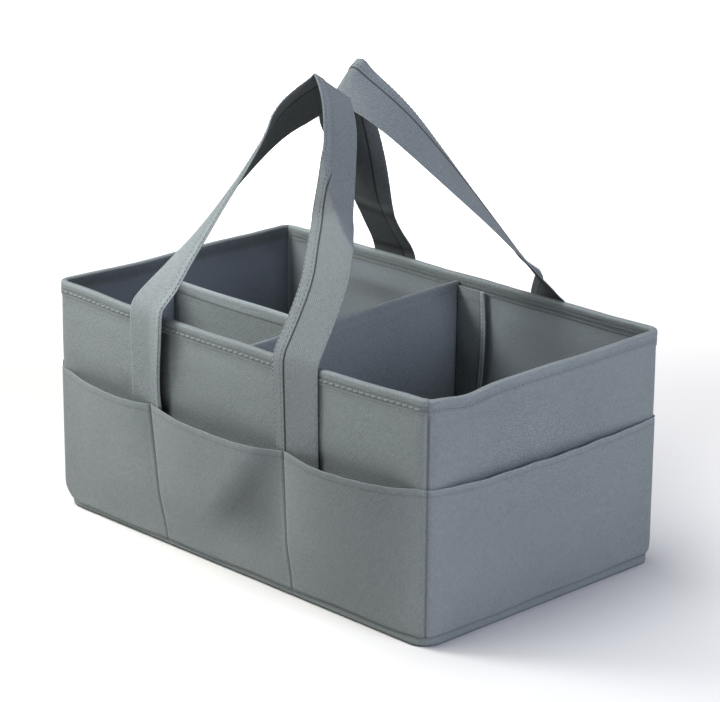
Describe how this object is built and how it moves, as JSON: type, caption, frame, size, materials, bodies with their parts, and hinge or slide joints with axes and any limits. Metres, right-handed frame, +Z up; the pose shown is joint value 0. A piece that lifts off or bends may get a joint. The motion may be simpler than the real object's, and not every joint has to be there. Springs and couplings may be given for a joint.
{
  "type": "diaper caddy",
  "caption": "Soft-sided fabric storage caddy with boarded walls, sewn outside pockets, swinging strap handles and a lift-out T-shaped divider with peel-off flaps.",
  "frame": {"origin": "on the floor at the middle of the base", "axes": "+X along the length, to the right as seen from the front; +Y to the back; +Z up"},
  "size_m": [0.403, 0.2668, 0.3518],
  "materials": {
    "canvas": "fine plain-weave polyester canvas, matte grey",
    "strap": "double layer of the same canvas, hemmed along one edge",
    "lining": "thin matte lining cloth, darker grey",
    "board": "stiffening board sewn in between the cloths",
    "hook_tape": "hook and loop tape"
  },
  "bodies": {
    "caddy": {"base_panel": "canvas", "base_band": "canvas", "base_board": "board", "base_lining": "lining", "front_outer_panel": "canvas", "front_board": "board", "front_lining": "lining", "front_rim_hem": "canvas", "front_pocket": "canvas", "right_outer_panel": "canvas", "right_board": "board", "right_lining": "lining", "right_rim_hem": "canvas", "right_pocket": "canvas", "back_outer_panel": "canvas", "back_board": "board", "back_lining": "lining", "back_rim_hem": "canvas", "back_pocket": "canvas", "left_outer_panel": "canvas", "left_board": "board", "left_lining": "lining", "left_rim_hem": "canvas", "left_pocket": "canvas", "front_left_strap_leg": "strap", "front_right_strap_leg": "strap", "back_left_strap_leg": "strap", "back_right_strap_leg": "strap", "front_loop_strip": "hook_tape", "back_loop_strip": "hook_tape", "end_loop_strip": "hook_tape"},
    "front_handle": {"front_handle_strap": "strap"},
    "back_handle": {"back_handle_strap": "strap"},
    "divider": {"cross_divider_cover": "canvas", "cross_divider_board": "board", "long_divider_cover": "canvas", "long_divider_board": "board"},
    "front_flap_fold": {"front_flap": "canvas", "front_hook_strip": "hook_tape"},
    "back_flap_fold": {"back_flap": "canvas", "back_hook_strip": "hook_tape"},
    "end_flap_fold": {"end_flap": "canvas", "end_hook_strip": "hook_tape"}
  },
  "joints": [
    {"name": "front_handle_swing", "type": "hinge", "parent": "caddy", "child": "front_handle", "pos_m": [0, -0.12348, 0.176], "axis": [1, 0, 0], "range_deg": [0, 170]},
    {"name": "back_handle_swing", "type": "hinge", "parent": "caddy", "child": "back_handle", "pos_m": [0, 0.12348, 0.176], "axis": [-1, 0, 0], "range_deg": [0, 170]},
    {"name": "divider_lift", "type": "slide", "parent": "caddy", "child": "divider", "axis": [0, 0, 1], "range_m": [0, 0.11]},
    {"name": "front_flap_peel", "type": "hinge", "parent": "divider", "child": "front_flap_fold", "pos_m": [0.0136, -0.1088, 0], "axis": [0, -0.0171, 0.9999], "range_deg": [0, 65]},
    {"name": "back_flap_peel", "type": "hinge", "parent": "divider", "child": "back_flap_fold", "pos_m": [-0.0014, 0.1088, 0], "axis": [0, -0.0171, -0.9999], "range_deg": [0, 65]},
    {"name": "end_flap_peel", "type": "hinge", "parent": "divider", "child": "end_flap_fold", "pos_m": [-0.1848, -0.0086, 0], "axis": [-0.0057, 0, 1], "range_deg": [0, 65]}
  ]
}
